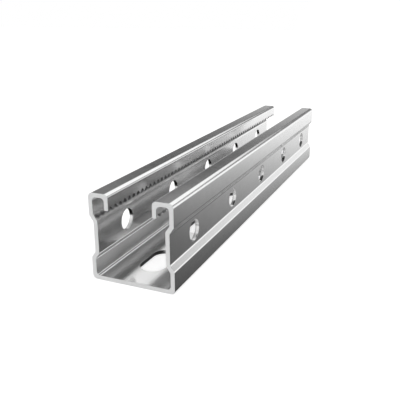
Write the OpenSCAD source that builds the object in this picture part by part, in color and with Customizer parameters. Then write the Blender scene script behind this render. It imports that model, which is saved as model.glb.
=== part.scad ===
// Slotted strut channel: one strip of steel, punched with holes and slots and then roll
// formed into a C with stepped side walls and two inward lips with serrated edges.
// The length runs along Y, the open side with its lips faces up, and the origin is in the
// middle of the underside.

/* [Channel] */
// Length of the piece
channel_l = 250; // [100:50:500]
// Width over the side walls
channel_w = 41; // [38:0.5:44]
// Height from the underside to the tops of the lips
channel_h = 41; // [38:0.5:44]
// Thickness of the strip
sheet_t = 2; // [1.5:0.1:2.2]

/* [Lips] */
// Clear width of the mouth between the two lips
mouth_w = 21.2; // [19:0.2:23]
// Height of a lip, from the top of the channel down to its serrated edge
lip_h = 7.5; // [6.5:0.1:8]
// Distance between one serration and the next
notch_pitch = 4; // [4:0.1:6]
// Width of a serration at the edge of the lip
notch_w = 3.6; // [2:0.1:3.8]
// Width of a serration at its root
notch_root_w = 0.4; // [0.2:0.1:0.8]
// Depth of a serration
notch_depth = 1.7; // [1:0.1:2]
// Middle of the first serration, from the front end
notch_start = 2; // [2:0.1:4]

/* [Side walls] */
// How far the middle of each wall is set in
recess_depth = 2; // [1:0.1:2.5]
// Height of the set-in panel, between its two steps
recess_h = 14.2; // [13:0.2:15]
// Height of each sloping step
step_h = 2.8; // [2.4:0.1:3.4]

/* [Bends] */
// Outside radius of the four long corners
corner_r = 2.2; // [1.6:0.1:2.4]
// Radius over the top of a lip, on the side of the mouth
lip_r = 2; // [1.6:0.1:2.4]
// Radius inside the corners and behind the lips
inner_r = 1.8; // [1:0.1:2]
// Radius where a wall bends into a step
step_r = 2; // [0.5:0.1:2.5]

/* [Holes and slots] */
// Distance from one hole or slot to the next, along the length
hole_pitch = 50; // [40:5:60]
// Diameter of the round holes in the side walls
hole_d = 10.5; // [6:0.5:12.5]
// Width of the slots in the base
slot_w = 12.5; // [8:0.5:18]
// Length of the slots in the base, over their round ends
slot_l = 24.5; // [20:0.5:35]

/* [Hidden] */

half_w = channel_w / 2;
mouth_x = mouth_w / 2;
middle_z = channel_h / 2;
lip_z = channel_h - lip_h;

// Where the outer face of a wall leaves its outer panels and reaches the set-in panel,
// measured up and down from the middle of the wall
step_outer = recess_h / 2 + step_h;
step_inner = recess_h / 2;
// The strip keeps its thickness through a step, so the inner face bends a little further
// from the middle than the outer face does
bend_shift = sheet_t * tan(atan2(recess_depth, step_h) / 2);

hole_count = floor(channel_l / hole_pitch);
notch_count = floor((channel_l - notch_start - notch_w / 2) / notch_pitch) + 1;
// Cutters reach this far past the faces that they cut
past = 1;

// Corners of the right half of the section as [x, z, radius], from the underside up the
// outer face, round the lip and back down the inner face
half_corners = [
  [half_w, 0, corner_r],
  [half_w, middle_z - step_outer, step_r],
  [half_w - recess_depth, middle_z - step_inner, step_r],
  [half_w - recess_depth, middle_z + step_inner, step_r],
  [half_w, middle_z + step_outer, step_r],
  [half_w, channel_h, corner_r],
  [mouth_x, channel_h, lip_r],
  [mouth_x, lip_z, 0],
  [mouth_x + sheet_t, lip_z, 0],
  [mouth_x + sheet_t, channel_h - sheet_t, inner_r],
  [half_w - sheet_t, channel_h - sheet_t, inner_r],
  [half_w - sheet_t, middle_z + step_outer + bend_shift, step_r],
  [half_w - recess_depth - sheet_t, middle_z + step_inner + bend_shift, step_r],
  [half_w - recess_depth - sheet_t, middle_z - step_inner - bend_shift, step_r],
  [half_w - sheet_t, middle_z - step_outer - bend_shift, step_r],
  [half_w - sheet_t, sheet_t, inner_r],
];
section_corners = concat(half_corners, mirrored(half_corners));

// The same corners on the other side, in the reverse order
function mirrored(corners) =
  [for (i = [len(corners) - 1:-1:0]) [-corners[i][0], corners[i][1], corners[i][2]]];

function unit(v) = v / norm(v);

// Angle from one direction to another, counted anticlockwise, between -180 and 180
function turn(from, to) = atan2(cross(from, to), from * to);

// Points of the arc of radius r that rounds corner b on the way from a to c. A corner with
// no radius stays one sharp point.
function rounded_corner(a, b, c, r) =
  r == 0 ? [b] :
  let (
    way_in = unit(b - a),
    way_out = unit(c - b),
    angle = turn(way_in, way_out),
    side = sign(angle),
    start = b - way_in * r * tan(abs(angle) / 2),
    centre = start + side * r * [-way_in[1], way_in[0]],
    first = atan2(start[1] - centre[1], start[0] - centre[0]),
    steps = ceil(abs(angle) / 11.5)
  )
  [for (i = [0:steps]) centre + r * [cos(first + angle * i / steps), sin(first + angle * i / steps)]];

// A closed outline with every corner [x, y, radius] rounded
function rounded(corners) =
  let (n = len(corners), xy = [for (p = corners) [p[0], p[1]]])
  [
    for (i = [0:n - 1])
      each rounded_corner(xy[(i + n - 1) % n], xy[i], xy[(i + 1) % n], corners[i][2])
  ];

// Repeats what it is given at each place where the strip is punched, along the length
module at_each_hole() {
  for (i = [0:hole_count - 1])
    translate([0, (i - (hole_count - 1) / 2) * hole_pitch, 0]) children();
}

// The roll formed strip before it is punched
module formed_strip() {
  rotate([90, 0, 0])
    linear_extrude(channel_l, center = true)
      polygon(rounded(section_corners));
}

// One bar that cuts the same round hole through both walls
module wall_hole() {
  translate([0, 0, middle_z])
    rotate([0, 90, 0])
      cylinder(d = hole_d, h = channel_w + 2 * past, center = true, $fn = 72);
}

// One slot with round ends through the base, longer along the channel than across it
module base_slot() {
  end_y = (slot_l - slot_w) / 2;
  cut_h = sheet_t + 2 * past;
  translate([0, 0, sheet_t / 2]) {
    cube([slot_w, 2 * end_y, cut_h], center = true);
    for (y = [-end_y, end_y])
      translate([0, y, 0]) cylinder(d = slot_w, h = cut_h, center = true, $fn = 72);
  }
}

// A row of V-shaped teeth that cuts the serrations of both lips from below, straight across
module serration_cutter() {
  reach = mouth_w + 2 * sheet_t + 2 * past;
  below = 0.1;
  flare = (notch_w - notch_root_w) / 2 / notch_depth;
  foot = notch_w / 2 + flare * below;
  for (i = [0:notch_count - 1])
    translate([0, notch_start + i * notch_pitch - channel_l / 2, lip_z])
      rotate([90, 0, 90])
        linear_extrude(reach, center = true)
          polygon([
            [-foot, -below],
            [foot, -below],
            [notch_root_w / 2, notch_depth],
            [-notch_root_w / 2, notch_depth],
          ]);
}

module channel() {
  color("lightslategray")
    difference() {
      formed_strip();
      at_each_hole() {
        wall_hole();
        base_slot();
      }
      serration_cutter();
    }
}

channel();
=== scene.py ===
"""Looks for a short length of slotted steel strut channel, on a plain pale studio floor.

The channel is one piece of rolled strip. Its section, holes, slots and serrations come from
the CAD node as they are. This script rounds their sharp edges by up to a tenth of a
millimetre, as punching and cutting leave them, and finishes each kind of surface on its own:
the galvanised strip, the cut ends, the punched walls of the openings, the serrations and the
rubbed edges.
"""

import logging
import math
from dataclasses import dataclass, field
from enum import Enum

import bmesh
import bpy
from mathutils import Matrix, Vector


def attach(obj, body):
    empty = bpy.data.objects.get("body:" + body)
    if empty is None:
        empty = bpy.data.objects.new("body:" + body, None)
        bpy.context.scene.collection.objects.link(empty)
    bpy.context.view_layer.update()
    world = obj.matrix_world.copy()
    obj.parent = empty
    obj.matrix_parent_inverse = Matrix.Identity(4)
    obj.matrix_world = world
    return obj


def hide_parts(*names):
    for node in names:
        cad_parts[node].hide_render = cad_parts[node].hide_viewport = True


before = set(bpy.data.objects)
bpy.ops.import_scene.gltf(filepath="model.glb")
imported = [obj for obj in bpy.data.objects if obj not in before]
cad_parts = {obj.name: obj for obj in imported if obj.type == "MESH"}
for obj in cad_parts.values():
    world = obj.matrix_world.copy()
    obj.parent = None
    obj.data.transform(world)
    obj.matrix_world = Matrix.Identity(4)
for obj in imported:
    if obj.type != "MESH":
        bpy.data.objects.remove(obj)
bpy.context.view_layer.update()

MM = 0.001

Socket = bpy.types.NodeSocket
# What an input takes: another node's output, or a plain number or colour.
Feed = Socket | float | tuple[float, ...]

log = logging.getLogger("strut_channel")


class Surface(Enum):
    """The kinds of surface on the channel. Each value is its material index on the mesh."""

    OUTSIDE = 0
    INSIDE = 1
    CUT_END = 2
    WALL_PUNCH = 3
    BASE_PUNCH = 4
    SERRATION = 5
    RUBBED_EDGE = 6


class Axis(Enum):
    """The way in which a punch went through the strip, as the number of that coordinate."""

    ACROSS = 0
    UPRIGHT = 2


def grey(level: float) -> tuple[float, float, float, float]:
    """Returns a neutral colour of that level."""
    return (level, level, level, 1.0)


class Drawing:
    """Adds nodes to one node tree, each placed, set and wired in one call."""

    def __init__(self, tree: bpy.types.NodeTree) -> None:
        """Starts on an empty tree, of a material, a world or a group."""
        self.tree = tree
        tree.nodes.clear()

    def wire(self, socket: Socket, value: Feed) -> None:
        """Feeds one input.

        Args:
            socket: the input.
            value: another node's output socket, or a plain value.
        """
        if isinstance(value, Socket):
            self.tree.links.new(value, socket)
        else:
            socket.default_value = value

    def add(
        self, kind: str, wires: dict[str | int, Feed] | None = None, **settings: object
    ) -> bpy.types.Node:
        """Adds a node.

        Args:
            kind: Blender's name for the node type.
            wires: what each input gets, by its name or number.
            settings: properties of the node itself.

        Returns:
            The new node.
        """
        node = self.tree.nodes.new(kind)
        for name, value in settings.items():
            setattr(node, name, value)
        for name, value in (wires or {}).items():
            self.wire(node.inputs[name], value)
        return node

    def math(self, operation: str, first: Feed, second: Feed = 0.0) -> Socket:
        """Does one sum, such as MAXIMUM, on two sockets or numbers."""
        return self.add("ShaderNodeMath", {0: first, 1: second}, operation=operation).outputs[0]

    def times(self, first: Feed, *others: Feed) -> Socket:
        """Multiplies two or more values, one after another.

        Args:
            first: the first socket or number.
            others: the sockets or numbers to multiply it by.

        Returns:
            The output socket.
        """
        for other in others:
            first = self.math("MULTIPLY", first, other)
        return first

    def plus(self, first: Feed, *others: Feed) -> Socket:
        """Adds two or more values, one after another.

        Args:
            first: the first socket or number.
            others: the sockets or numbers to add to it.

        Returns:
            The output socket.
        """
        for other in others:
            first = self.math("ADD", first, other)
        return first

    def minus(self, first: Feed, second: Feed) -> Socket:
        """Takes the second value from the first."""
        return self.math("SUBTRACT", first, second)

    def rest(self, mask: Socket) -> Socket:
        """Turns a mask round, so that 1 becomes 0."""
        return self.math("SUBTRACT", 1.0, mask)

    def ratio(self, first: Feed, second: Feed) -> Socket:
        """Divides the first value by the second."""
        return self.math("DIVIDE", first, second)

    def size(self, value: Socket) -> Socket:
        """Drops the sign of a value."""
        return self.math("ABSOLUTE", value)

    def vector(self, operation: str, first: Feed, second: Feed = (0.0, 0.0, 0.0)) -> Socket:
        """Does one vector sum that gives a vector, such as MULTIPLY."""
        return self.add("ShaderNodeVectorMath", {0: first, 1: second}, operation=operation).outputs[0]

    def own_place(self) -> Socket:
        """Reads the position in the piece's own coordinates."""
        return self.add("ShaderNodeTexCoord").outputs["Object"]

    def split(self, place: Socket) -> tuple[Socket, ...]:
        """Takes a position or a direction apart into its three coordinates."""
        return tuple(self.add("ShaderNodeSeparateXYZ", {0: place}).outputs)

    def between(
        self, value: Socket, low: float, high: float, start: float = 0.0, end: float = 1.0,
        curve: str = "SMOOTHSTEP",
    ) -> Socket:
        """Turns a value that goes from low to high into a rise from start to end."""
        wires = {"Value": value, "From Min": low, "From Max": high, "To Min": start, "To Max": end}
        return self.add("ShaderNodeMapRange", wires, interpolation_type=curve).outputs["Result"]

    def noise(
        self, place: Socket, scale: Feed, detail: float = 2.0, roughness: float = 0.5
    ) -> bpy.types.Node:
        """Adds soft noise, with so many bumps to a metre and so many finer layers."""
        wires = {"Vector": place, "Scale": scale, "Detail": detail, "Roughness": roughness}
        return self.add("ShaderNodeTexNoise", wires)

    def cells(self, place: Socket, scale: Feed) -> bpy.types.Node:
        """Adds a pattern of cells, so many to a metre."""
        return self.add("ShaderNodeTexVoronoi", {"Vector": place, "Scale": scale}, feature="F1")

    def blend(self, how_much: Feed, first: Feed, second: Feed) -> Socket:
        """Mixes two colours. The first value is the share of the second colour."""
        wires = {0: how_much, 6: first, 7: second}
        return self.add("ShaderNodeMix", wires, data_type="RGBA").outputs[2]

    def grey_of(self, level: Socket) -> Socket:
        """Makes a neutral colour of a level that changes over the surface."""
        return self.add("ShaderNodeCombineColor", {0: level, 1: level, 2: level}).outputs[0]

    def bump(self, height: Socket, strength: float, depth: float) -> Socket:
        """Makes a normal of a height, with its strength and its full depth in metres."""
        wires = {"Height": height, "Strength": strength, "Distance": depth}
        return self.add("ShaderNodeBump", wires).outputs[0]


@dataclass(frozen=True)
class Effect:
    """A pattern that several finishes share, kept as one shader node group."""

    name: str

    def group(self) -> bpy.types.NodeTree:
        """Returns the group, and builds it the first time."""
        return bpy.data.node_groups.get(self.name) or self.build()

    def start(
        self, inputs: dict[str, float | None], outputs: list[str]
    ) -> tuple[Drawing, bpy.types.Node]:
        """Makes the empty group with its named sockets.

        Args:
            inputs: the name of each input and its usual value, or None for a position.
            outputs: the names of the values it gives.

        Returns:
            The drawing of the group and its input node.
        """
        tree = bpy.data.node_groups.new(self.name, "ShaderNodeTree")
        for name, value in inputs.items():
            kind = "NodeSocketVector" if value is None else "NodeSocketFloat"
            socket = tree.interface.new_socket(name, in_out="INPUT", socket_type=kind)
            if value is not None:
                socket.default_value = value
        for name in outputs:
            tree.interface.new_socket(name, in_out="OUTPUT", socket_type="NodeSocketFloat")
        sheet = Drawing(tree)
        return sheet, sheet.add("NodeGroupInput")

    def build(self) -> bpy.types.NodeTree:
        """Builds the group. Each effect has its own."""
        raise NotImplementedError

    def use(self, sheet: Drawing, **wires: Feed) -> bpy.types.Node:
        """Places the group in a material.

        Args:
            sheet: the drawing of the material.
            wires: what each input gets, with underscores for the spaces in its name.

        Returns:
            The group node.
        """
        node = sheet.add("ShaderNodeGroup", node_tree=self.group())
        for name, value in wires.items():
            sheet.wire(node.inputs[name.replace("_", " ")], value)
        return node


@dataclass(frozen=True)
class RollingLines(Effect):
    """Fine lines along the channel, left by the rolls that flattened and formed the strip."""

    name: str = "rolling_lines"
    fine_share: float = 0.6
    coarse_share: float = 0.4
    coarse_scale: float = 0.23
    contrast: tuple[float, float] = (0.3, 0.7)

    def build(self) -> bpy.types.NodeTree:
        """Draws two sets of stretched noise, fine and coarse, and mixes them.

        Returns:
            The finished group.
        """
        usual = {"Position": None, "Spacing": 0.4 * MM, "Run": 60 * MM}
        sheet, given = self.start(usual, ["Lines"])
        across = sheet.ratio(1.0, given.outputs["Spacing"])
        along = sheet.ratio(1.0, given.outputs["Run"])
        stretch = sheet.add("ShaderNodeCombineXYZ", {0: across, 1: along, 2: across}).outputs[0]
        place = sheet.vector("MULTIPLY", given.outputs["Position"], stretch)
        fine = sheet.noise(place, 1.0, detail=3.0, roughness=0.6).outputs[0]
        coarse = sheet.noise(place, self.coarse_scale).outputs[0]
        lines = sheet.plus(sheet.times(fine, self.fine_share), sheet.times(coarse, self.coarse_share))
        sheet.add("NodeGroupOutput", {"Lines": sheet.between(lines, *self.contrast)})
        return sheet.tree


@dataclass(frozen=True)
class ZincBloom(Effect):
    """The faint cloudy patches and small specks of a zinc coating."""

    name: str = "zinc_bloom"
    drift_scale: float = 0.6
    drift_reach: float = 1.2 * MM
    crystal_share: float = 0.35
    cloud_share: float = 0.65
    cloud_scale: float = 0.18
    speck_scale: float = 1.4
    speck_edge: tuple[float, float] = (0.04, 0.11)

    def build(self) -> bpy.types.NodeTree:
        """Draws the flat crystals as cells, softens them with noise, and adds sparse specks.

        Returns:
            The finished group.
        """
        usual = {"Position": None, "Crystal Size": 2.5 * MM}
        sheet, given = self.start(usual, ["Bloom", "Specks"])
        place = given.outputs["Position"]
        scale = sheet.ratio(1.0, given.outputs["Crystal Size"])
        drift = sheet.noise(place, sheet.times(scale, self.drift_scale)).outputs["Color"]
        wires = {0: drift, "Scale": self.drift_reach}
        shift = sheet.add("ShaderNodeVectorMath", wires, operation="SCALE").outputs[0]
        crystals = sheet.cells(sheet.vector("ADD", shift, place), scale).outputs["Color"]
        shade = sheet.add("ShaderNodeSeparateColor", {0: crystals}).outputs[0]
        cloud = sheet.noise(place, sheet.times(scale, self.cloud_scale), detail=3.0).outputs[0]
        bloom = sheet.plus(sheet.times(shade, self.crystal_share), sheet.times(cloud, self.cloud_share))
        dots = sheet.cells(place, sheet.times(scale, self.speck_scale)).outputs["Distance"]
        specks = sheet.between(dots, *self.speck_edge, 1.0, 0.0)
        sheet.add("NodeGroupOutput", {"Bloom": bloom, "Specks": specks})
        return sheet.tree


@dataclass(frozen=True)
class CornerRub(Effect):
    """Where stacked lengths rub on each other: the long corners and the two ends."""

    name: str = "corner_rub"
    fade: tuple[float, float] = (0.3, 1.0)
    patch_scale: float = 140.0
    patch_edge: tuple[float, float] = (0.42, 0.66)

    def build(self) -> bpy.types.NodeTree:
        """Measures how near a point is to a long corner or an end, and breaks the mark up.

        Returns:
            The finished group.
        """
        usual = {
            "Position": None, "Half Width": 20.5 * MM, "Middle Height": 20.5 * MM,
            "Half Length": 125 * MM, "Reach": 1.2 * MM,
        }
        sheet, given = self.start(usual, ["Rub"])
        across, along, height = sheet.split(given.outputs["Position"])
        side = sheet.minus(given.outputs["Half Width"], sheet.size(across))
        rise = sheet.size(sheet.minus(height, given.outputs["Middle Height"]))
        level = sheet.minus(given.outputs["Middle Height"], rise)
        corner = sheet.ratio(sheet.math("MAXIMUM", side, level), given.outputs["Reach"])
        tip = sheet.minus(given.outputs["Half Length"], sheet.size(along))
        end = sheet.ratio(tip, given.outputs["Reach"])
        near = sheet.between(sheet.math("MINIMUM", corner, end), *self.fade, 1.0, 0.0)
        patch = sheet.noise(given.outputs["Position"], self.patch_scale, detail=4.0, roughness=0.65)
        broken = sheet.between(patch.outputs[0], *self.patch_edge)
        sheet.add("NodeGroupOutput", {"Rub": sheet.times(near, broken)})
        return sheet.tree


@dataclass(frozen=True)
class PaintedFoldShade(Effect):
    """Painted shade in the two lower folds inside each wall: a mask that darkens and dulls them."""

    name: str = "painted_fold_shade"
    step_fade: tuple[float, float] = (0.7, 1.0)
    corner_fade: tuple[float, float] = (0.6, 1.0)

    def build(self) -> bpy.types.NodeTree:
        """Masks the sloping face of the lower step and the middle of the bend into the base.

        Returns:
            The finished group.
        """
        usual = {
            "Position": None, "Step Height": 11.36 * MM, "Step Reach": 1.30 * MM,
            "Corner Side": 17.49 * MM, "Corner Height": 2.18 * MM, "Corner Reach": 0.50 * MM,
        }
        sheet, given = self.start(usual, ["Fold Shade"])
        across, _, height = sheet.split(given.outputs["Position"])
        climb = sheet.size(sheet.minus(height, given.outputs["Step Height"]))
        step = sheet.ratio(climb, given.outputs["Step Reach"])
        side = sheet.minus(sheet.size(across), given.outputs["Corner Side"])
        rise = sheet.minus(height, given.outputs["Corner Height"])
        away = sheet.math("SQRT", sheet.plus(sheet.times(side, side), sheet.times(rise, rise)))
        corner = sheet.ratio(away, given.outputs["Corner Reach"])
        step_mask = sheet.between(step, *self.step_fade, 1.0, 0.0)
        corner_mask = sheet.between(corner, *self.corner_fade, 1.0, 0.0)
        sheet.add("NodeGroupOutput", {"Fold Shade": sheet.math("MAXIMUM", step_mask, corner_mask)})
        return sheet.tree


class Finish:
    """What every finish shares: one material, named after it."""

    name: str

    def material(self) -> bpy.types.Material:
        """Makes the material.

        Returns:
            The new material, wired and named after its finish.
        """
        made = bpy.data.materials.new(self.name)
        made.use_nodes = True
        sheet = Drawing(made.node_tree)
        sheet.add("ShaderNodeOutputMaterial", {"Surface": self.dress(sheet).outputs[0]})
        return made

    def dress(self, sheet: Drawing) -> bpy.types.Node:
        """Wires the surface. Each finish has its own."""
        raise NotImplementedError


@dataclass(frozen=True)
class GalvanisedStrip(Finish):
    """Bright, skin-passed zinc on rolled steel, with fine lines along the length."""

    name: str = "galvanised_strip"
    base: float = 0.86
    roughness: float = 0.11
    metal: float = 1.0
    mottle: float = 0.04
    painted_shade: float = 0.0
    bloom_span: tuple[float, float] = (0.2, 0.8)
    darker: float = 0.03
    lighter: float = 0.02
    line_spacing: float = 0.4 * MM
    line_run: float = 80 * MM
    line_depth: float = 0.002 * MM
    line_strength: float = 0.35
    line_shade: float = 0.02
    crystal_size: float = 2.4 * MM
    speck_shade: float = 0.05
    rub_reach: float = 1.2 * MM
    rub_share: float = 0.5
    rub_level: float = 0.9
    rub_roughness: float = 0.06
    fold_roughness: float = 0.4
    lines: RollingLines = RollingLines()
    bloom: ZincBloom = ZincBloom()
    rub: CornerRub = CornerRub()
    fold_shade: PaintedFoldShade = PaintedFoldShade()

    def dress(self, sheet: Drawing) -> bpy.types.Node:
        """Wires the zinc: lines and bloom shift its colour and gloss, and corners are rubbed bright.

        Args:
            sheet: the drawing of the material.

        Returns:
            The Principled node.
        """
        place = sheet.own_place()
        lines = self.lines.use(sheet, Position=place, Spacing=self.line_spacing, Run=self.line_run)
        lines = lines.outputs["Lines"]
        zinc = self.bloom.use(sheet, Position=place, Crystal_Size=self.crystal_size)
        bloom, specks = zinc.outputs["Bloom"], zinc.outputs["Specks"]
        rub = self.rub.use(sheet, Position=place, Reach=self.rub_reach).outputs["Rub"]
        shade = sheet.between(
            bloom, *self.bloom_span, self.base - self.darker, self.base + self.lighter, curve="LINEAR"
        )
        streaked = sheet.plus(shade, sheet.times(lines, self.line_shade))
        level = sheet.minus(streaked, sheet.times(specks, self.speck_shade))
        rough = sheet.plus(
            self.roughness, sheet.times(bloom, self.mottle), sheet.times(lines, self.line_shade),
            sheet.times(rub, self.rub_roughness),
        )
        # Painted shade: where this is set, the two lower folds inside are darkened and made rougher.
        if self.painted_shade:
            fold_shade = self.fold_shade.use(sheet, Position=place).outputs["Fold Shade"]
            level = sheet.minus(level, sheet.times(fold_shade, self.painted_shade))
            rough = sheet.plus(rough, sheet.times(fold_shade, self.painted_shade * self.fold_roughness))
        rubbed = sheet.times(rub, self.rub_share)
        return sheet.add(
            "ShaderNodeBsdfPrincipled",
            {
                "Base Color": sheet.blend(rubbed, sheet.grey_of(level), grey(self.rub_level)),
                "Metallic": self.metal,
                "Roughness": rough,
                "Normal": sheet.bump(lines, self.line_strength, self.line_depth),
            },
        )


@dataclass(frozen=True)
class CutEnd(Finish):
    """The bare, matt steel of a sawn end, with fine saw lines across the section."""

    name: str = "cut_end"
    base: float = 0.865
    metal: float = 0.0
    roughness: float = 0.5
    darker: float = 0.03
    saw_angle: float = 86.0
    line_spacing: float = 0.2 * MM
    line_run: float = 30 * MM
    line_depth: float = 0.006 * MM
    line_strength: float = 0.4
    line_shade: float = 0.04
    line_roughness: float = 0.08
    grit_size: float = 0.8 * MM
    grit_shade: float = 0.03
    speck_shade: float = 0.06
    lines: RollingLines = RollingLines()
    bloom: ZincBloom = ZincBloom()

    def dress(self, sheet: Drawing) -> bpy.types.Node:
        """Wires the cut: saw lines lie along X, so the coordinates are turned round Z for them.

        Args:
            sheet: the drawing of the material.

        Returns:
            The Principled node.
        """
        place = sheet.own_place()
        turn = (0.0, 0.0, math.radians(self.saw_angle))
        turned = sheet.add("ShaderNodeMapping", {"Vector": place, "Rotation": turn}).outputs[0]
        lines = self.lines.use(sheet, Position=turned, Spacing=self.line_spacing, Run=self.line_run)
        lines = lines.outputs["Lines"]
        grit = self.bloom.use(sheet, Position=place, Crystal_Size=self.grit_size)
        level = sheet.plus(
            self.base - self.darker, sheet.times(lines, self.line_shade),
            sheet.times(grit.outputs["Bloom"], self.grit_shade),
        )
        level = sheet.minus(level, sheet.times(grit.outputs["Specks"], self.speck_shade))
        return sheet.add(
            "ShaderNodeBsdfPrincipled",
            {
                "Base Color": sheet.grey_of(level),
                "Metallic": self.metal,
                "Roughness": sheet.plus(self.roughness, sheet.times(lines, self.line_roughness)),
                "Normal": sheet.bump(lines, self.line_strength, self.line_depth),
            },
        )


@dataclass(frozen=True)
class PunchedWall(Finish):
    """The wall of a punched opening: a bright sheared band, then a duller torn one.

    The punch goes in at entry and comes out at exit, both measured from the middle of the
    channel or from its underside.
    """

    name: str = "punched_wall"
    through: Axis = Axis.ACROSS
    entry: float = 18.5 * MM
    exit: float = 16.5 * MM
    base: float = 0.72
    roughness: float = 0.1
    edge_tint: float = 1.0
    sheared_share: float = 0.62
    band_blur: float = 0.15 * MM
    wander_scale: float = 420.0
    wander_reach: float = 0.5 * MM
    torn_shade: float = 0.2
    torn_roughness: float = 0.1
    drag_spacing: float = 0.3 * MM
    drag_depth: float = 0.01 * MM
    drag_strength: float = 0.3
    sheared_drag: float = 0.3
    grit_size: float = 0.5 * MM
    grit_shade: float = 0.06
    lines: RollingLines = RollingLines()
    bloom: ZincBloom = ZincBloom()

    def torn_band(self, sheet: Drawing, place: Socket) -> Socket:
        """Masks the torn band, by the depth below the face where the punch went in.

        Args:
            sheet: the drawing of the material.
            place: the piece's own coordinates.

        Returns:
            The mask, 0 on the sheared band and 1 on the torn one.
        """
        depth = sheet.size(sheet.split(place)[self.through.value])
        wander = sheet.noise(place, self.wander_scale, detail=3.0).outputs[0]
        depth = sheet.plus(depth, sheet.times(sheet.minus(wander, 0.5), self.wander_reach))
        split = self.entry + (self.exit - self.entry) * self.sheared_share
        past_split = sheet.between(depth, split - self.band_blur, split + self.band_blur)
        return sheet.rest(past_split) if self.exit < self.entry else past_split

    def dress(self, sheet: Drawing) -> bpy.types.Node:
        """Wires the two bands, with fine grit and the marks that the punch dragged.

        Args:
            sheet: the drawing of the material.

        Returns:
            The Principled node.
        """
        place = sheet.own_place()
        torn = self.torn_band(sheet, place)
        drag = self.lines.use(
            sheet, Position=place, Spacing=self.drag_spacing, Run=self.drag_spacing
        ).outputs["Lines"]
        grit = self.bloom.use(sheet, Position=place, Crystal_Size=self.grit_size).outputs["Bloom"]
        shade = sheet.rest(sheet.times(torn, self.torn_shade))
        grain = sheet.plus(1.0 - self.grit_shade / 2, sheet.times(grit, self.grit_shade))
        height = sheet.times(sheet.plus(self.sheared_drag, torn), drag)
        return sheet.add(
            "ShaderNodeBsdfPrincipled",
            {
                "Base Color": sheet.grey_of(sheet.times(self.base, shade, grain)),
                "Metallic": 1.0,
                "Roughness": sheet.plus(self.roughness, sheet.times(torn, self.torn_roughness)),
                "Specular Tint": grey(self.edge_tint),
                "Normal": sheet.bump(height, self.drag_strength, self.drag_depth),
            },
        )


@dataclass(frozen=True)
class RubbedEdge(Finish):
    """The fine rounding along cut and punched edges, where the coating is thin and bright."""

    name: str = "rubbed_edge"
    base: float = 0.82
    worn_shade: float = 0.1
    roughness: float = 0.24
    worn_roughness: float = 0.1
    grit_size: float = 0.9 * MM
    worn_edge: tuple[float, float] = (0.35, 0.6)
    bloom: ZincBloom = ZincBloom()

    def dress(self, sheet: Drawing) -> bpy.types.Node:
        """Wires the edge: bright, and broken up where the zinc is thin.

        Args:
            sheet: the drawing of the material.

        Returns:
            The Principled node.
        """
        grit = self.bloom.use(sheet, Position=sheet.own_place(), Crystal_Size=self.grit_size)
        worn = sheet.between(grit.outputs["Bloom"], *self.worn_edge)
        return sheet.add(
            "ShaderNodeBsdfPrincipled",
            {
                "Base Color": sheet.blend(worn, grey(self.base - self.worn_shade), grey(self.base)),
                "Metallic": 1.0,
                "Roughness": sheet.plus(self.roughness, sheet.times(worn, self.worn_roughness)),
            },
        )


def channel_finishes() -> dict[Surface, Finish]:
    """Lists the finish of each kind of surface.

    Returns:
        The finishes, by their surfaces.
    """
    return {
        Surface.OUTSIDE: GalvanisedStrip(),
        # Painted light: the inside is a lighter copy of the same zinc, base 0.915 and metal 0.90
        # against 0.86 and 1.0 outside, so that light bounced round inside the channel comes out
        # brighter. Its two lower folds get 0.50 of painted shade.
        Surface.INSIDE: GalvanisedStrip(
            "galvanised_inside", base=0.915, roughness=0.10, metal=0.90, mottle=0.02, painted_shade=0.50
        ),
        Surface.CUT_END: CutEnd(),
        Surface.WALL_PUNCH: PunchedWall(),
        # Painted shade: the slot walls in the base are dark, base 0.35 and edge tint 0.5, darker than
        # cut steel, standing in for the shade under and inside the channel.
        Surface.BASE_PUNCH: PunchedWall(
            "punched_base", Axis.UPRIGHT, entry=2 * MM, exit=0.0, base=0.35, roughness=0.15,
            edge_tint=0.5,
        ),
        # Painted shade: the serration faces are near black, base 0.08 and edge tint 0.3, far darker
        # than cut steel, standing in for the shaded inside of the channel seen through the notches.
        Surface.SERRATION: PunchedWall(
            "serration", Axis.ACROSS, entry=10.6 * MM, exit=12.6 * MM, base=0.08, roughness=0.3,
            edge_tint=0.3,
        ),
        Surface.RUBBED_EDGE: RubbedEdge(),
    }


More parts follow.
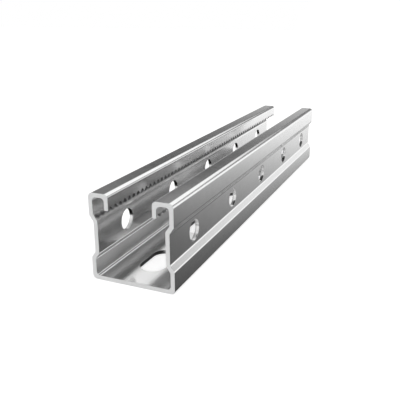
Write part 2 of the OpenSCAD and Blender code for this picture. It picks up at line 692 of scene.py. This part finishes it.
@dataclass
class StrutChannel:
    """The channel: one piece of roll formed strip, punched before it was formed."""

    node: str = "channel"
    slot: str = "galvanised_steel"
    half_length: float = 125 * MM
    strip: float = 2 * MM
    recess_face: float = 18.5 * MM
    mouth_face: float = 10.6 * MM
    under_top: float = 39 * MM
    hole_pitch: float = 50 * MM
    hole_radius: float = 5.25 * MM
    hole_height: float = 20.5 * MM
    slot_reach: float = 8 * MM
    wall_reach: float = 16 * MM
    lip_edge: float = 33.5 * MM
    serration: float = 1.7 * MM
    below_lip: float = 1 * MM
    rim_roll: float = 0.10 * MM
    edge_break: float = 0.07 * MM

    # How near two points are merged, below what angle in degrees two faces are one, and
    # above what angle an edge is sharp.
    weld: float = 0.001 * MM
    flat_angle: float = 0.5
    sharp_angle: float = 30.0

    # How far a face may lie off the place or the border that it is sorted by, and the parts
    # of its normal that count as none and as all.
    hair: float = 0.01 * MM
    margin: float = 0.1 * MM
    edge_on: float = 0.01
    face_on: float = 0.99
    finishes: dict[Surface, Finish] = field(default_factory=channel_finishes)

    def opening_of(self, way: Vector, middle: Vector) -> Surface | None:
        """Says which opening or serration a face belongs to.

        Args:
            way: the face's normal.
            middle: the middle of the face.

        Returns:
            The kind of surface, or None for a face of the strip itself.
        """
        in_base = middle.z < self.strip + self.hair and abs(middle.x) < self.slot_reach
        if in_base and abs(way.z) < self.edge_on:
            return Surface.BASE_PUNCH
        along = ((middle.y / self.hole_pitch + 0.5) % 1 - 0.5) * self.hole_pitch
        in_hole = max(abs(middle.z - self.hole_height), abs(along)) < self.hole_radius
        if in_hole and abs(way.x) < self.edge_on and abs(middle.x) > self.wall_reach:
            return Surface.WALL_PUNCH
        at_lip_edge = -self.hair < middle.z - self.lip_edge < self.serration + self.hair
        if at_lip_edge and (abs(way.y) >= self.edge_on or way.z < -self.face_on):
            return Surface.SERRATION
        return None

    def kind_of(self, face: bmesh.types.BMFace) -> Surface:
        """Says what kind of surface a face of the unrounded channel is.

        Args:
            face: a face with its normal up to date.

        Returns:
            The kind of surface.
        """
        way, middle = face.normal, face.calc_center_median()
        if abs(way.y) > self.face_on and abs(abs(middle.y) - self.half_length) < self.hair:
            return Surface.CUT_END
        opening = self.opening_of(way, middle)
        if opening:
            return opening
        outer_side = abs(middle.x) > self.recess_face - self.margin and way.x * middle.x > 0
        mouth_side = abs(middle.x) < self.mouth_face + self.margin and middle.z > self.lip_edge
        on_top = middle.z > self.under_top - self.margin and way.z > 0
        underneath = middle.z < self.strip and way.z < 0
        out = outer_side or mouth_side or on_top or underneath
        return Surface.OUTSIDE if out else Surface.INSIDE

    def merged_copy(self) -> bmesh.types.BMesh:
        """Copies the CAD node's loose triangles, merges them and joins what is flat.

        Returns:
            The copy as a bmesh, its faces told apart by material index.
        """
        bm = bmesh.new()
        bm.from_mesh(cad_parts[self.node].data)
        bmesh.ops.remove_doubles(bm, verts=bm.verts, dist=self.weld)
        bmesh.ops.dissolve_limit(
            bm, angle_limit=math.radians(self.flat_angle), verts=bm.verts, edges=bm.edges,
            use_dissolve_boundaries=False,
        )
        bm.normal_update()
        for face in bm.faces:
            face.material_index = self.kind_of(face).value
            face.smooth = True
        return bm

    def sharp_edges(self, bm: bmesh.types.BMesh, rims: bool) -> list[bmesh.types.BMEdge]:
        """Lists the sharp edges of one sort.

        Args:
            bm: the channel.
            rims: True for the rims of holes and slots, False for all the others.

        Returns:
            The edges.
        """
        openings = {Surface.BASE_PUNCH.value, Surface.WALL_PUNCH.value}
        strips = {Surface.OUTSIDE.value, Surface.INSIDE.value}
        found = []
        for edge in bm.edges:
            angle = edge.calc_face_angle(0.0)
            if len(edge.link_faces) != 2 or angle < math.radians(self.sharp_angle):
                continue
            kinds = {face.material_index for face in edge.link_faces}
            below_lips = max(v.co.z for v in edge.verts) < self.lip_edge - self.below_lip
            is_rim = bool(kinds & openings) and bool(kinds & strips) and below_lips
            if is_rim == rims:
                found.append(edge)
        return found

    def round_edges(self, bm: bmesh.types.BMesh) -> None:
        """Rolls the rims of the openings a little and breaks every other sharp edge.

        Args:
            bm: the channel.
        """
        for rims, size, steps in ((True, self.rim_roll, 3), (False, self.edge_break, 2)):
            made = bmesh.ops.bevel(
                bm, geom=self.sharp_edges(bm, rims), offset=size, offset_type="OFFSET",
                segments=steps, profile=0.5, affect="EDGES", clamp_overlap=True, material=-1,
            )
            for face in made["faces"]:
                face.smooth = True
                if not rims:
                    face.material_index = Surface.RUBBED_EDGE.value

    def build(self) -> bpy.types.Object:
        """Builds the channel's mesh and puts it in the place of its CAD node.

        Returns:
            The finished object.
        """
        bm = self.merged_copy()
        self.round_edges(bm)
        mesh = bpy.data.meshes.new("channel_steel")
        bm.to_mesh(mesh)
        bm.free()
        channel = bpy.data.objects.new("channel_steel", mesh)
        bpy.context.scene.collection.objects.link(channel)
        shading = channel.modifiers.new("flat faces stay flat", "WEIGHTED_NORMAL")
        shading.mode, shading.weight, shading.keep_sharp = "FACE_AREA", 50, False
        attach(channel, "root")
        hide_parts(self.node)
        return channel

    def dress(self, channel: bpy.types.Object) -> None:
        """Gives each kind of surface of the finished object its finish."""
        for surface in Surface:
            channel.data.materials.append(self.finishes[surface].material())


@dataclass(frozen=True)
class FloorFinish(Finish):
    """The plain pale floor: white to the camera, with the channel's soft shadow on it.

    The metal looks through it, to the lower half of the surroundings, so that it mirrors an
    even sweep and not the edge of a table.
    """

    name: str = "pale_floor"
    colour: float = 0.88
    roughness: float = 0.9
    lift: float = 0.6

    def dress(self, sheet: Drawing) -> bpy.types.Node:
        """Wires one surface for light and the camera, and none for gloss.

        Args:
            sheet: the drawing of the material.

        Returns:
            The node that mixes the two.
        """
        ray = sheet.add("ShaderNodeLightPath")
        floor = sheet.add(
            "ShaderNodeBsdfPrincipled",
            {
                "Base Color": grey(self.colour),
                "Roughness": self.roughness,
                "Specular IOR Level": 0.0,
                "Emission Color": grey(1.0),
                "Emission Strength": sheet.times(ray.outputs["Is Camera Ray"], self.lift),
            },
        )
        clear = sheet.add("ShaderNodeBsdfTransparent")
        gloss = sheet.math(
            "MAXIMUM", ray.outputs["Is Glossy Ray"], ray.outputs["Is Transmission Ray"]
        )
        return sheet.add("ShaderNodeMixShader", {0: gloss, 1: floor.outputs[0], 2: clear.outputs[0]})


@dataclass(frozen=True)
class Rise:
    """A smooth change, from start where a value is low to end where it is high."""

    low: float
    high: float
    start: float = 0.0
    end: float = 1.0

    def of(self, sheet: Drawing, value: Socket) -> Socket:
        """Draws the change over a socket's value."""
        return sheet.between(value, self.low, self.high, self.start, self.end)


@dataclass(frozen=True)
class Heading:
    """A direction of length 1, as the sockets that the light is worked out from.

    Across is to the right, along is to the far end and height is up. Facing says how nearly
    the direction's bearing, or the opposite one, is the bright one.
    """

    across: Socket
    along: Socket
    height: Socket
    facing: Socket

    @classmethod
    def read(cls, sheet: Drawing, bright_bearing: float) -> "Heading":
        """Takes the direction apart.

        Args:
            sheet: the drawing of the world.
            bright_bearing: degrees from straight along, turning to the right.

        Returns:
            The direction.
        """
        way = sheet.add("ShaderNodeTexCoord").outputs["Generated"]
        across, along, height = sheet.split(way)
        flat = sheet.vector("NORMALIZE", sheet.vector("MULTIPLY", way, (1.0, 1.0, 0.0)))
        turn = math.radians(bright_bearing)
        wires = {0: flat, 1: (math.sin(turn), math.cos(turn), 0.0)}
        match = sheet.add("ShaderNodeVectorMath", wires, operation="DOT_PRODUCT")
        return cls(across, along, height, sheet.size(match.outputs["Value"]))


@dataclass(frozen=True)
class Surroundings:
    """The soft studio light, as a world that depends on nothing but the direction.

    A bright sweep lies round the horizon and fades to black straight below. Over it a panel
    stands on the right, and a ceiling panel hangs over the length of the channel, with a dark
    gap between the two. A pale wall closes the near side.
    """

    bright_bearing: float = 25.0
    horizon: Rise = Rise(-0.02, 0.02)

    # The sweep below the horizon, as pairs of height and level.
    below: tuple[tuple[float, float], ...] = (
        (-0.80, 0.01), (-0.60, 0.05), (-0.454, 0.12), (-0.39, 0.165), (-0.326, 0.30),
        (-0.292, 0.40), (-0.259, 0.55), (-0.225, 0.76), (-0.19, 0.95), (-0.15, 1.07),
    )
    below_facing: Rise = Rise(0.60, 0.85, 0.70, 1.0)

    # It is brighter straight ahead, with a dark seam on the right. Slant is across for each
    # unit of depth.
    slant_shift: float = 0.1
    least_depth: float = 0.001
    ahead_boost: Rise = Rise(0.45, 0.65, 2.8, 1.0)
    ahead_cap: Rise = Rise(0.50, 0.75, 0.70, 1.07)
    seam_inner: Rise = Rise(0.47, 0.56)
    seam_outer: Rise = Rise(0.78, 0.89, 0.98, 0.0)

    # It falls off faster far on the right, and the near half darkens towards straight down.
    fall_off: Rise = Rise(0.42, 0.50, 1.0, 1.8)
    fall_off_from: float = 0.2
    deep_dark: Rise = Rise(-0.70, -0.56, 0.85, 0.0)
    deep_near: Rise = Rise(-0.1, 0.1, 1.0, 0.0)

    # A weak light comes up from under each side.
    under_light: Rise = Rise(-0.72, -0.54, 0.22, 0.0)
    under_right: Rise = Rise(0.0, 0.3)
    under_left: Rise = Rise(0.50, 0.62)

    # The sweep just over the horizon.
    above_height: Rise = Rise(0.02, 0.30, 1.0, 0.0)
    above_facing: Rise = Rise(0.66, 0.82, 0.46, 1.02)

    # The panel on the right. Its top edge rises by panel_slope for each unit across.
    panel_slope: float = 0.53
    panel_border: Rise = Rise(-0.02, 0.02)
    panel_light: Rise = Rise(0.72, 0.98, 0.48, 0.97)

    # The ceiling panel begins some way up, for each unit along, and dims straight above.
    ceiling_light: Rise = Rise(0.255, 0.505, 0.0, 1.06)
    zenith: Rise = Rise(0.66, 0.85, 1.0, 0.6)
    ceiling_right: float = 0.78
    right_border: Rise = Rise(-0.06, 0.07)
    ceiling_left: float = 1.3
    left_border: Rise = Rise(-0.56, 0.30)
    least_along: float = 0.01

    # The gap between the panels, with a weak glow low on the left.
    gap_level: float = 0.04
    glow_light: Rise = Rise(0.44, 0.58, 0.0, 0.14)
    glow_height: Rise = Rise(0.20, 0.46, 1.0, 0.0)

    # The wall on the near side. Its foot reaches below the horizon in the middle.
    wall_light: Rise = Rise(-0.5, -0.25, 1.0, 0.0)
    wall_base: Rise = Rise(0.0, 0.05)
    wall_top: Rise = Rise(0.25, 0.60, 1.0, 0.75)
    foot_height: Rise = Rise(-0.45, -0.35)
    foot_width: Rise = Rise(0.50, 0.62, 1.0, 0.0)

    def sweep(self, sheet: Drawing, height: Socket) -> Socket:
        """Draws the levels of the sweep below the horizon.

        Args:
            sheet: the drawing of the world.
            height: how far the direction points up.

        Returns:
            The level.
        """
        low, high = self.below[0][0], self.below[-1][0]
        ramp = sheet.add("ShaderNodeValToRGB", {0: sheet.ratio(sheet.minus(height, low), high - low)})
        stops = ramp.color_ramp.elements
        while len(stops) < len(self.below):
            stops.new(0.5)
        for stop, (where, level) in zip(stops, self.below):
            stop.position, stop.color = (where - low) / (high - low), grey(level)
        return ramp.outputs[0]

    def light_below(self, sheet: Drawing, way: Heading) -> Socket:
        """Draws the light from under the horizon.

        Args:
            sheet: the drawing of the world.
            way: the direction.

        Returns:
            The level.
        """
        depth = sheet.math("MAXIMUM", sheet.times(way.height, -1.0), self.least_depth)
        slant = sheet.plus(sheet.ratio(way.across, depth), self.slant_shift)
        steepness = sheet.size(slant)
        seam = sheet.times(self.seam_inner.of(sheet, slant), self.seam_outer.of(sheet, slant))
        ahead = sheet.times(self.ahead_boost.of(sheet, steepness), sheet.rest(seam))
        falling = self.fall_off.of(sheet, way.across)
        height = sheet.times(sheet.plus(way.height, self.fall_off_from), falling)
        level = self.sweep(sheet, sheet.minus(height, self.fall_off_from))
        level = sheet.times(level, self.below_facing.of(sheet, way.facing), ahead)
        level = sheet.math("MINIMUM", level, self.ahead_cap.of(sheet, steepness))
        dark = sheet.times(self.deep_dark.of(sheet, way.height), self.deep_near.of(sheet, way.along))
        level = sheet.times(level, sheet.rest(dark))
        left = self.under_left.of(sheet, sheet.times(way.across, -1.0))
        beside = sheet.math("MAXIMUM", self.under_right.of(sheet, way.across), left)
        return sheet.plus(level, sheet.times(self.under_light.of(sheet, way.height), beside))

    def panel(self, sheet: Drawing, way: Heading) -> Socket:
        """Draws the panel that stands on the right.

        Args:
            sheet: the drawing of the world.
            way: the direction.

        Returns:
            The level.
        """
        under_edge = sheet.minus(sheet.times(way.across, self.panel_slope), way.height)
        light = self.panel_light.of(sheet, sheet.size(way.along))
        return sheet.times(self.panel_border.of(sheet, under_edge), light)

    def ceiling(self, sheet: Drawing, way: Heading) -> Socket:
        """Draws the panel that hangs over the channel.

        Args:
            sheet: the drawing of the world.
            way: the direction.

        Returns:
            The level.
        """
        along = sheet.math("MAXIMUM", sheet.size(way.along), self.least_along)
        light = self.ceiling_light.of(sheet, sheet.ratio(way.height, along))
        right = sheet.minus(way.height, sheet.times(way.across, self.ceiling_right))
        left = sheet.plus(way.height, sheet.times(way.across, self.ceiling_left))
        return sheet.times(
            light, self.zenith.of(sheet, way.height), self.right_border.of(sheet, right),
            self.left_border.of(sheet, left),
        )

    def gap(self, sheet: Drawing, way: Heading) -> Socket:
        """Draws what little light the gap between the panels gives.

        Args:
            sheet: the drawing of the world.
            way: the direction.

        Returns:
            The level.
        """
        glow = self.glow_light.of(sheet, sheet.times(way.across, -1.0))
        glow = sheet.times(glow, self.glow_height.of(sheet, way.height))
        return sheet.plus(glow, self.gap_level)

    def near_wall(self, sheet: Drawing, way: Heading) -> Socket:
        """Draws the wall that closes the near side.

        Args:
            sheet: the drawing of the world.
            way: the direction.

        Returns:
            The level.
        """
        width = self.foot_width.of(sheet, sheet.size(way.across))
        foot = sheet.times(self.foot_height.of(sheet, way.height), width)
        stands = sheet.math("MAXIMUM", foot, self.wall_base.of(sheet, way.height))
        light = self.wall_light.of(sheet, way.along)
        return sheet.times(light, stands, self.wall_top.of(sheet, way.height))

    def world(self) -> bpy.types.World:
        """Makes the world.

        Returns:
            The world, white to the camera.
        """
        made = bpy.data.worlds.new("studio")
        made.use_nodes = True
        sheet = Drawing(made.node_tree)
        way = Heading.read(sheet, self.bright_bearing)
        up = self.horizon.of(sheet, way.height)
        low = sheet.times(self.light_below(sheet, way), sheet.rest(up))
        facing = self.above_facing.of(sheet, way.facing)
        high = sheet.times(self.above_height.of(sheet, way.height), facing, up)
        panel = sheet.times(self.panel(sheet, way), up)
        level = sheet.math("MAXIMUM", sheet.plus(low, high), panel)
        gap = sheet.times(self.gap(sheet, way), up)
        level = sheet.plus(level, self.ceiling(sheet, way), gap)
        level = sheet.math("MAXIMUM", level, self.near_wall(sheet, way))
        camera = sheet.add("ShaderNodeLightPath").outputs["Is Camera Ray"]
        seen = sheet.grey_of(sheet.math("MAXIMUM", level, camera))
        back = sheet.add("ShaderNodeBackground", {"Color": seen, "Strength": 1.0})
        sheet.add("ShaderNodeOutputWorld", {"Surface": back.outputs[0]})
        return made


@dataclass
class Studio:
    """Floor, soft surrounding light and the camera. Angles are in degrees."""

    floor_size: float = 6.0
    camera_place: tuple[float, float, float] = (0.11456, -0.31357, 0.11458)
    azimuth: float = 23.591
    elevation: float = 18.831
    roll: float = -0.163
    lens: float = 50.0
    film_width: float = 36.0
    nearest: float = 0.01
    furthest: float = 50.0
    surroundings: Surroundings = Surroundings()

    def lay_floor(self) -> bpy.types.Object:
        """Lays the floor under the channel.

        Returns:
            The floor.
        """
        bm = bmesh.new()
        bmesh.ops.create_grid(bm, x_segments=2, y_segments=2, size=self.floor_size / 2)
        mesh = bpy.data.meshes.new("studio_floor")
        bm.to_mesh(mesh)
        bm.free()
        floor = bpy.data.objects.new("studio_floor", mesh)
        bpy.context.scene.collection.objects.link(floor)
        mesh.materials.append(FloorFinish().material())
        return floor

    def camera_axes(self) -> Matrix:
        """Works out how the camera is turned.

        Returns:
            Its right, up and backward directions, as the columns of a matrix.
        """
        azimuth, elevation, roll = map(math.radians, (self.azimuth, self.elevation, self.roll))
        level = Vector((math.sin(azimuth), -math.cos(azimuth), 0.0)) * math.cos(elevation)
        back = level + Vector((0.0, 0.0, math.sin(elevation)))
        right = (-back).cross(Vector((0.0, 0.0, 1.0))).normalized()
        up = right.cross(-back)
        across = right * math.cos(roll) + up * math.sin(roll)
        over = up * math.cos(roll) - right * math.sin(roll)
        return Matrix((across, over, back)).transposed()

    def aim_camera(self) -> bpy.types.Object:
        """Sets the camera up at the photograph's angle.

        Returns:
            The camera.
        """
        data = bpy.data.cameras.new("camera")
        data.lens, data.sensor_width = self.lens, self.film_width
        data.clip_start, data.clip_end = self.nearest, self.furthest
        camera = bpy.data.objects.new("camera", data)
        bpy.context.scene.collection.objects.link(camera)
        turned = self.camera_axes().to_4x4()
        camera.matrix_world = Matrix.Translation(self.camera_place) @ turned
        bpy.context.scene.camera = camera
        return camera

    def build(self) -> None:
        """Builds the whole set, with plain colours on the screen."""
        self.lay_floor()
        bpy.context.scene.world = self.surroundings.world()
        self.aim_camera()
        bpy.context.scene.view_settings.view_transform = "Standard"


def main() -> None:
    """Builds the channel and the studio, and reports each piece."""
    logging.basicConfig(level=logging.INFO, format="%(name)s: %(message)s")
    strut = StrutChannel()
    channel = strut.build()
    strut.dress(channel)
    vertices, faces = len(channel.data.vertices), len(channel.data.polygons)
    log.info("%s: %d vertices, %d faces", channel.name, vertices, faces)
    Studio().build()
    log.info("studio: floor, surrounding light and camera")


if __name__ == "__main__":
    main()
